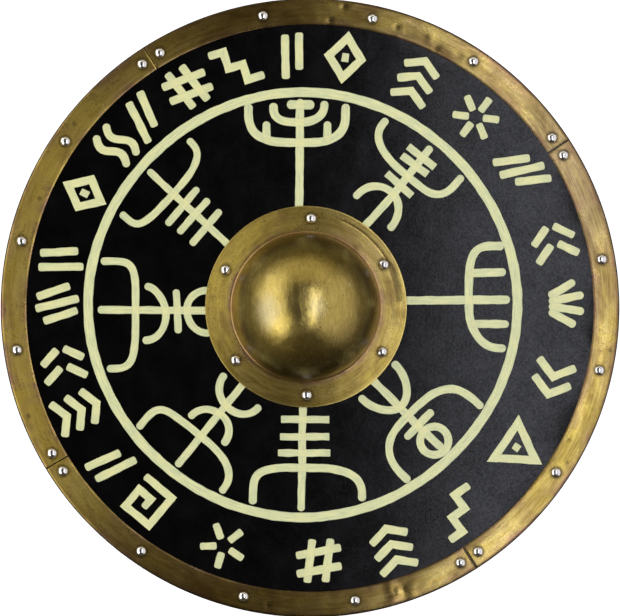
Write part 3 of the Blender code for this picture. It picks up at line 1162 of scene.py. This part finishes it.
def domeBrass():
    material = newMaterial("DomeBrass", **{"Metallic": 1.0, "Coat Weight": 0.7, "Coat Roughness": 0.32})
    centre = tuple(bossCentre)
    foot = boss["domeRadius"]
    clouds = cloudy(material, (26, 26, 26), 5.0, 0.62, centre, 0.6)
    smears = cloudy(material, (90, 34, 60), 5.0, 0.7, centre, 1.5)
    scuffs = cloudy(material, (900, 120, 400), 4.0, 0.65, centre, 0.6)
    specks = cloudy(material, (420, 420, 420), 3.0, 0.6, centre)
    beaten = cloudy(material, (62, 62, 62), 3.0, 0.5, centre, 0.4)
    flat = placed(material, (1, 1, 0), centre)
    reach = lengthOf(flat)
    # the brown brim is partly patina and partly painted shade, and the dark ring near the foot is painted
    # shade, where the steep wall mirrors the dark room
    brimPatinaAndShade = between(sumOf(reach, between(clouds, 0.3, 0.7, -5 * mm, 5 * mm)), foot - 26 * mm, foot - 6 * mm)
    footShade = between(reach, foot - 7 * mm, foot - 3.5 * mm)
    onDome = between(reach, foot - 2.0 * mm, foot + 0.3 * mm, 1.0, 0.0)
    tone = blend(between(smears, 0.4, 0.7, 0.0, 0.50), brass["olive"], brass["pale"])
    tone = layered(tone, (between(clouds, 0.5, 0.75, 0.0, 0.5), "clean"))
    # paler patches: painted highlights where the lamps shine on the dome
    for right, up, size, share in rubbed:
        spot = bossCentre + Vector((right, up, 0)) * mm
        away = lengthOf(placed(material, (1, 0.7, 0), tuple(spot)))
        patch = sumOf(away, between(clouds, 0.3, 0.7, -3 * mm, 3 * mm))
        tone = layered(tone, (between(patch, size * 0.3 * mm, size * mm, share, 0.0), "rubbed"))
    tone = layered(tone, (product(product(brimPatinaAndShade, onDome), 0.62), "brown"))
    # darker sides turned away from the lamps: painted shade
    for towards, near, far, amount in shadedSides:
        facing = addNode(flat, "VectorMath", {0: flat, 1: towards}, operation="DOT_PRODUCT").outputs["Value"]
        shade = between(facing, foot * near, foot * far, 0.0, amount)
        tone = layered(tone, (product(shade, onDome), "deep"))
    tone = layered(tone, (product(product(footShade, onDome), 0.55), "dark"),
                   (between(reach, foot - 0.6 * mm, foot + 0.8 * mm, 0.0, 0.7), "rosy"),
                   (between(specks, 0.56, 0.70, 0.0, 0.5), "brown"),
                   (between(scuffs, 0.53, 0.68, 0.0, 0.45), "pale"))
    connect(tone, "Base Color")
    rough = sumOf(between(smears, 0.3, 0.7, 0.20, 0.28), between(reach, 12 * mm, 50 * mm, 0.0, 0.14))
    connect(rough, "Roughness")
    bumps = relief(beaten, 1.0 * mm, 0.5)
    bumps = relief(scuffs, 0.10 * mm, 0.6, bumps)
    connect(relief(specks, 0.08 * mm, 0.5, bumps), "Normal")
    return material


def flangeBrass():
    material, tone = sheetBrass("FlangeBrass", tuple(bossCentre), boss["grooveRadius"], tarnishAndLight["flange"])
    place = addNode(material, "UVMap", uv_map="around").outputs["UV"]
    parts = addNode(material, "SeparateXYZ", {"Vector": place}).outputs
    turn, reach = parts["X"], parts["Y"]
    # the pressed arc's narrow line and wide band are painted dark: patina and painted shade in the groove
    away = reckon(reckon(reach, boss["grooveRadius"], "SUBTRACT"), 0.0, "ABSOLUTE")
    first, narrow, last = [math.radians(boss[key]) * flangeRadius
                           for key in ("grooveFrom", "grooveNarrow", "grooveTo")]
    line = product(between(away, 0.35 * mm, 0.9 * mm, 0.75, 0.0), between(turn, narrow, narrow + 1 * mm))
    line = product(line, between(turn, last - 6 * mm, last, 1.0, 0.0))
    grooveBandShade = product(between(away, 2.5 * mm, 3.1 * mm, 0.5, 0.0), between(turn, first, first + 0.5 * mm))
    grooveBandShade = product(grooveBandShade, between(turn, narrow, narrow + 1 * mm, 1.0, 0.0))
    worn = between(reach, flangeRadius - 1.3 * mm, flangeRadius - 0.6 * mm, 0.0, 0.8)
    connect(layered(tone, (worn, "pale"), (sumOf(line, grooveBandShade), "dark")), "Base Color")
    brushAlong(material, "around")
    return material


def bossProfile():
    # from the dome's top over the flange's edge and back inside
    low, high = bossLow.z, bossLow.z + boss["sheet"]
    wall, fillet, sheet, edge = (boss[key] for key in ("domeRadius", "fillet", "sheet", "edgeRound"))
    start = high + fillet
    rise = bossHigh.z - start
    flat, lip = wall + fillet, flangeRadius - edge
    return (arcPoints((0, start), (wall, rise), 90, 0, 64)
            + arcPoints((flat, start), (fillet, fillet), 180, 270, 7)[1:]
            + [(flat + (lip - flat) * step / 22, high) for step in range(1, 22)]
            + arcPoints((lip, high - edge), (edge, edge), 90, 0, 3)
            + arcPoints((lip, low + edge), (edge, edge), 0, -90, 3)
            + [(lip + (flat - lip) * step / 8, low) for step in range(1, 8)]
            + arcPoints((flat, start), (fillet + sheet, fillet + sheet), 270, 180, 5)
            + arcPoints((0, start), (wall - sheet, rise - sheet), 0, 90, 40)[1:])


def bossLift(point):
    # the hammer's traces on the dome, and the pressed arc on the flange
    spot = point - bossCentre
    reach = spot.xy.length
    lift = noise.noise(spot * 26) * boss["hammer"]
    lift += noise.noise(spot * 70) * boss["hammer"] * boss["fineShare"]
    inside = boss["domeRadius"] + boss["hammerEnd"] - reach
    lift *= min(1.0, max(boss["flangeShare"], inside / boss["hammerFade"]))
    bearing = math.degrees(math.atan2(spot.y, spot.x))
    if reach > boss["domeRadius"] + boss["fillet"] and boss["grooveFrom"] < bearing < boss["grooveTo"]:
        wide = boss["narrowGroove"] if bearing > boss["grooveNarrow"] else boss["wideGroove"]
        away = (reach - boss["grooveRadius"]) / wide
        inward = min(boss["grooveTo"] - bearing, bearing - boss["grooveFrom"])
        lift -= boss["groove"] * math.exp(-away * away) * min(1.0, inward / boss["grooveFade"])
    return lift


def makeBoss():
    bm = turned(bossProfile(), bossCentre, boss["steps"])
    bm = drilled(bm, bossRivets, boss["holeRadius"], bossLow.z - boss["drillBelow"],
                 bossLow.z + boss["drillAbove"], boss["holeSides"])
    bm.normal_update()
    flangeTop = bossLow.z + boss["sheet"] + boss["wallFrom"]
    upward = Vector((0, 0, 1))
    moves = [(vert, vert.normal.copy() if vert.co.z > flangeTop else upward) for vert in bm.verts]
    for vert, normal in moves:
        vert.co += normal * min(bossLift(vert.co), bossHigh.z - vert.co.z)
    place = bm.loops.layers.uv.new("around")
    dirt = bm.verts.layers.float.new("dirt")
    brink = bm.verts.layers.float.new("brink")
    for vert in bm.verts:
        reach = (vert.co.xy - bossCentre.xy).length
        vert[brink] = math.exp(-abs(reach - boss["domeRadius"] - boss["fillet"]) / boss["brinkReach"])
        vert[dirt] = rivetShadeAndDirt(vert.co, bossRivets) if vert.co.z < flangeTop else 0.0
    flatFrom = boss["domeRadius"] + boss["fillet"] * 0.6
    for face in bm.faces:
        middle = face.calc_center_median() - bossCentre
        heading = math.atan2(middle.y, middle.x)
        face.material_index = 1 if middle.xy.length > flatFrom else 0
        for loop in face.loops:
            spot = loop.vert.co - bossCentre
            loop[place].uv = ((heading + turnFrom(heading, spot)) * flangeRadius, spot.xy.length)
    addPiece(bm, "boss", [domeBrass(), flangeBrass()], 35)


makeBoss()
print("boss made")


# the rivets

def polishedSteel():
    material = newMaterial("PolishedSteel", **{"Metallic": 1.0, "Base Color": (0.90, 0.90, 0.92, 1)})
    smudge = cloudy(material, (300, 300, 300), 3.0, 0.6)
    connect(between(smudge, 0.3, 0.7, 0.13, 0.19), "Roughness")
    connect(relief(smudge, 0.2 * mm, 0.3), "Normal")
    return material


def rivetProfile(foot):
    # from the top of the head down to the hammered tail
    head, shank, tail, deep = (rivet[key] for key in ("headRadius", "shankRadius", "tailRadius", "tailDepth"))
    neck = foot - 0.15 * mm
    return arcPoints((0, foot), (head, rivet["headHeight"]), 90, 0, 12) + [
        (head - 0.3 * mm, neck), (shank, neck), (shank, deep), (tail - 0.2 * mm, deep),
        (tail, deep - 0.25 * mm), (tail, 0.35 * mm), (tail - 0.3 * mm, 0.1 * mm), (tail * 0.5, 0.0), (0, 0.0)]


def makeRivets():
    material = polishedSteel()
    for name, centre in rivets.items():
        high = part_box(name)[1]
        bm = turned(rivetProfile(high.z - rivet["headHeight"]), centre, rivet["steps"])
        addPiece(bm, name, [material], 40)


makeRivets()
print("rivets made:", len(rivets))


# the grip

grip = {
    "endHalfWidth": 14.0 * mm,
    "lapDepth": 6.0 * mm,
    "halfWidth": 17.0 * mm,
    "swellHalf": 59.8 * mm,
    "shoulder": 7.0 * mm,
    "ringSides": 48,
    "rings": 60,
    "roundness": 0.55,          # 1 would be an ellipse, 0 a square
    "endRoundness": 0.28,
    "waist": 0.10,              # how much lower the hold is at its ends than in its middle
    "endTaper": 0.05,
}

woodTones = {
    "dark": (0.12, 0.056, 0.022, 1),
    "light": (0.21, 0.105, 0.042, 1),
    "pore": (0.055, 0.026, 0.011, 1),
}


def oiledWood():
    material = newMaterial("OiledWood", **{"Specular IOR Level": 0.45})
    grain = cloudy(material, (160, 9, 160), 5.0, 0.6, distortion=0.8)
    rings = cloudy(material, (260, 5, 90), 3.0, 0.55, distortion=1.2)
    tone = blend(between(rings, 0.35, 0.65), woodTones["dark"], woodTones["light"])
    connect(blend(between(grain, 0.5, 0.75, 0.0, 0.6), tone, woodTones["pore"]), "Base Color")
    connect(between(grain, 0.3, 0.7, 0.38, 0.55), "Roughness")
    connect(relief(grain, 0.3 * mm, 0.4), "Normal")
    return material


def gripSection(place):
    # half width and height of the grip at this distance from its middle
    away = abs(place)
    share = min(1.0, max(0.0, (grip["swellHalf"] - away) / grip["shoulder"]))
    rise = math.sin(share * math.pi / 2)
    hold = 1.0 - grip["waist"] * (away / grip["swellHalf"]) ** 2
    top = grip["lapDepth"] + (gripHigh.z - grip["lapDepth"]) * rise * hold
    width = grip["endHalfWidth"] + (grip["halfWidth"] - grip["endHalfWidth"]) * rise
    return width, top


def makeGrip():
    # one ring of points after another along the grip, bridged into a closed bar
    across = Vector((gripAlong.y, -gripAlong.x, 0.0))
    bm = bmesh.new()
    loops = []
    for index in range(grip["rings"] + 1):
        place = -gripHalf + 2 * gripHalf * index / grip["rings"]
        width, top = gripSection(place)
        taper = 1.0 - grip["endTaper"] * (abs(place) / gripHalf) ** 24
        square = grip["roundness"] if top > grip["lapDepth"] * 1.2 else grip["endRoundness"]
        made = bmesh.ops.create_circle(bm, segments=grip["ringSides"], radius=1.0)
        for vert in made["verts"]:
            side, up = [math.copysign(abs(value) ** square, value) for value in vert.co.xy]
            vert.co = (gripMiddle + gripAlong * place + across * (side * width * taper)
                       + Vector((0, 0, top / 2 + up * top / 2)))
        loops.append(list({edge for vert in made["verts"] for edge in vert.link_edges}))
    for first, second in zip(loops, loops[1:]):
        bmesh.ops.bridge_loops(bm, edges=first + second)
    for loop in (loops[0], loops[-1]):
        bmesh.ops.edgeloop_fill(bm, edges=loop)
    bmesh.ops.recalc_face_normals(bm, faces=bm.faces[:])
    for radius, reach, sides in ((board["shankHole"], boardTop, board["shankSides"]),
                                 (board["tailHole"], board["tailDepth"], board["tailSides"])):
        bm = drilled(bm, [gripTop, gripFoot], radius, -board["overshoot"], reach, sides)
    addPiece(bm, "grip", [oiledWood()], 40)


makeGrip()
print("grip made")
